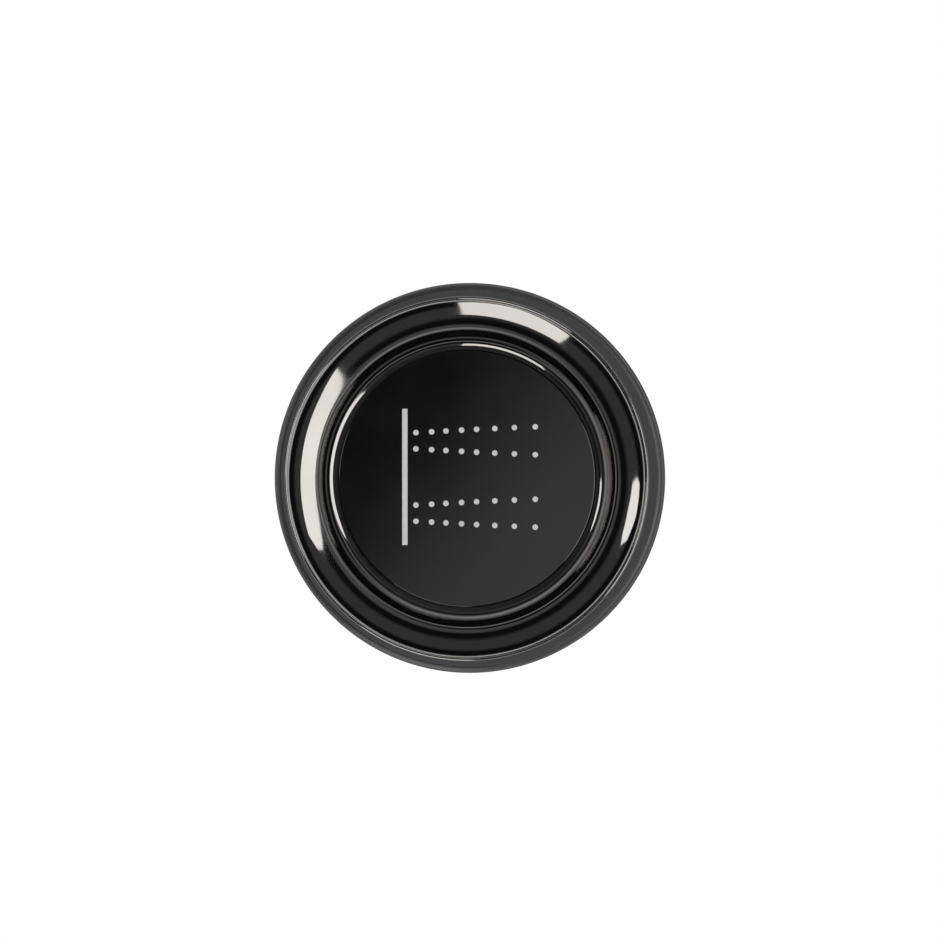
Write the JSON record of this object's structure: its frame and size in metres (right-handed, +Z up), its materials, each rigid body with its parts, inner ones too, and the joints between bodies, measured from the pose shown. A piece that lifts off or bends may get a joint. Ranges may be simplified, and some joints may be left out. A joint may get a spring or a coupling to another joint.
{
  "type": "shower push-button flow control",
  "caption": "Round wall-mounted shower control: gloss push button with a body-spray symbol inside a dished turning flow ring, on its valve cartridge.",
  "frame": {"origin": "on the control's axis, in the plane of the finished wall that the flange's back face rests on", "axes": "+Y along the axis into the wall, so the button faces -Y; +Z up, upright to the symbol; +X to the user's right"},
  "size_m": [0.06, 0.0886, 0.06],
  "materials": {
    "satin_black": "satin",
    "black_chrome": "polished black chrome",
    "black_gloss": "gloss",
    "grey_print": "printed",
    "black_plastic": "moulded",
    "white_plastic": "moulded",
    "grey_plastic": "moulded",
    "blue_plastic": "moulded",
    "brass": "machined",
    "steel": "machined",
    "rubber": "moulded",
    "foam": "closed-cell foam"
  },
  "bodies": {
    "wall_side": {"wall_flange": "satin_black", "wall_gasket": "foam", "flange_o_ring": "rubber", "fixed_sleeve": "brass", "thrust_washer": "white_plastic", "clamp_nut": "brass", "cartridge_housing": "grey_plastic", "housing_o_rings": "rubber", "valve_seat": "grey_plastic", "inlet_nose": "grey_plastic", "nose_o_ring": "rubber", "inlet_strainer": "steel", "guide_tube": "steel", "latch_guide": "white_plastic", "guide_cover": "white_plastic"},
    "flow_ring": {"dish_ring": "black_chrome", "grip_sleeve": "satin_black", "guide_bush": "black_plastic", "ring_carrier": "grey_plastic", "ring_screws": "steel", "flow_spindle": "brass", "spindle_o_rings": "rubber", "carrier_clip": "steel", "spindle_clip": "steel"},
    "throttle": {"throttle_sleeve": "white_plastic"},
    "button": {"button_face": "black_gloss", "pictogram": "grey_print", "face_pad": "foam", "button_cap": "black_plastic", "cap_screw": "steel", "push_rod": "steel", "rod_o_ring": "rubber", "latch_pusher": "blue_plastic", "latch_rotor": "blue_plastic", "return_spring": "steel", "poppet": "brass", "poppet_seal": "rubber", "poppet_nut": "steel"}
  },
  "joints": [
    {"name": "ring_turn", "type": "hinge", "parent": "wall_side", "child": "flow_ring", "pos_m": [0, 0, 0], "axis": [0, 1, 0], "range_deg": [-45, 45]},
    {"name": "throttle_slide", "type": "slide", "parent": "wall_side", "child": "throttle", "axis": [0, 1, 0], "range_m": [-0.00151, 0.00151]},
    {"name": "button_push", "type": "slide", "parent": "wall_side", "child": "button", "axis": [0, 1, 0], "range_m": [0, 0.003], "stiffness_N_per_m": 1500, "springref_m": -0.004, "deforming": ["return_spring"]}
  ],
  "couplings": [
    {"joint": "throttle_slide", "follows": "ring_turn", "m_per_rad": 0.0019099}
  ]
}
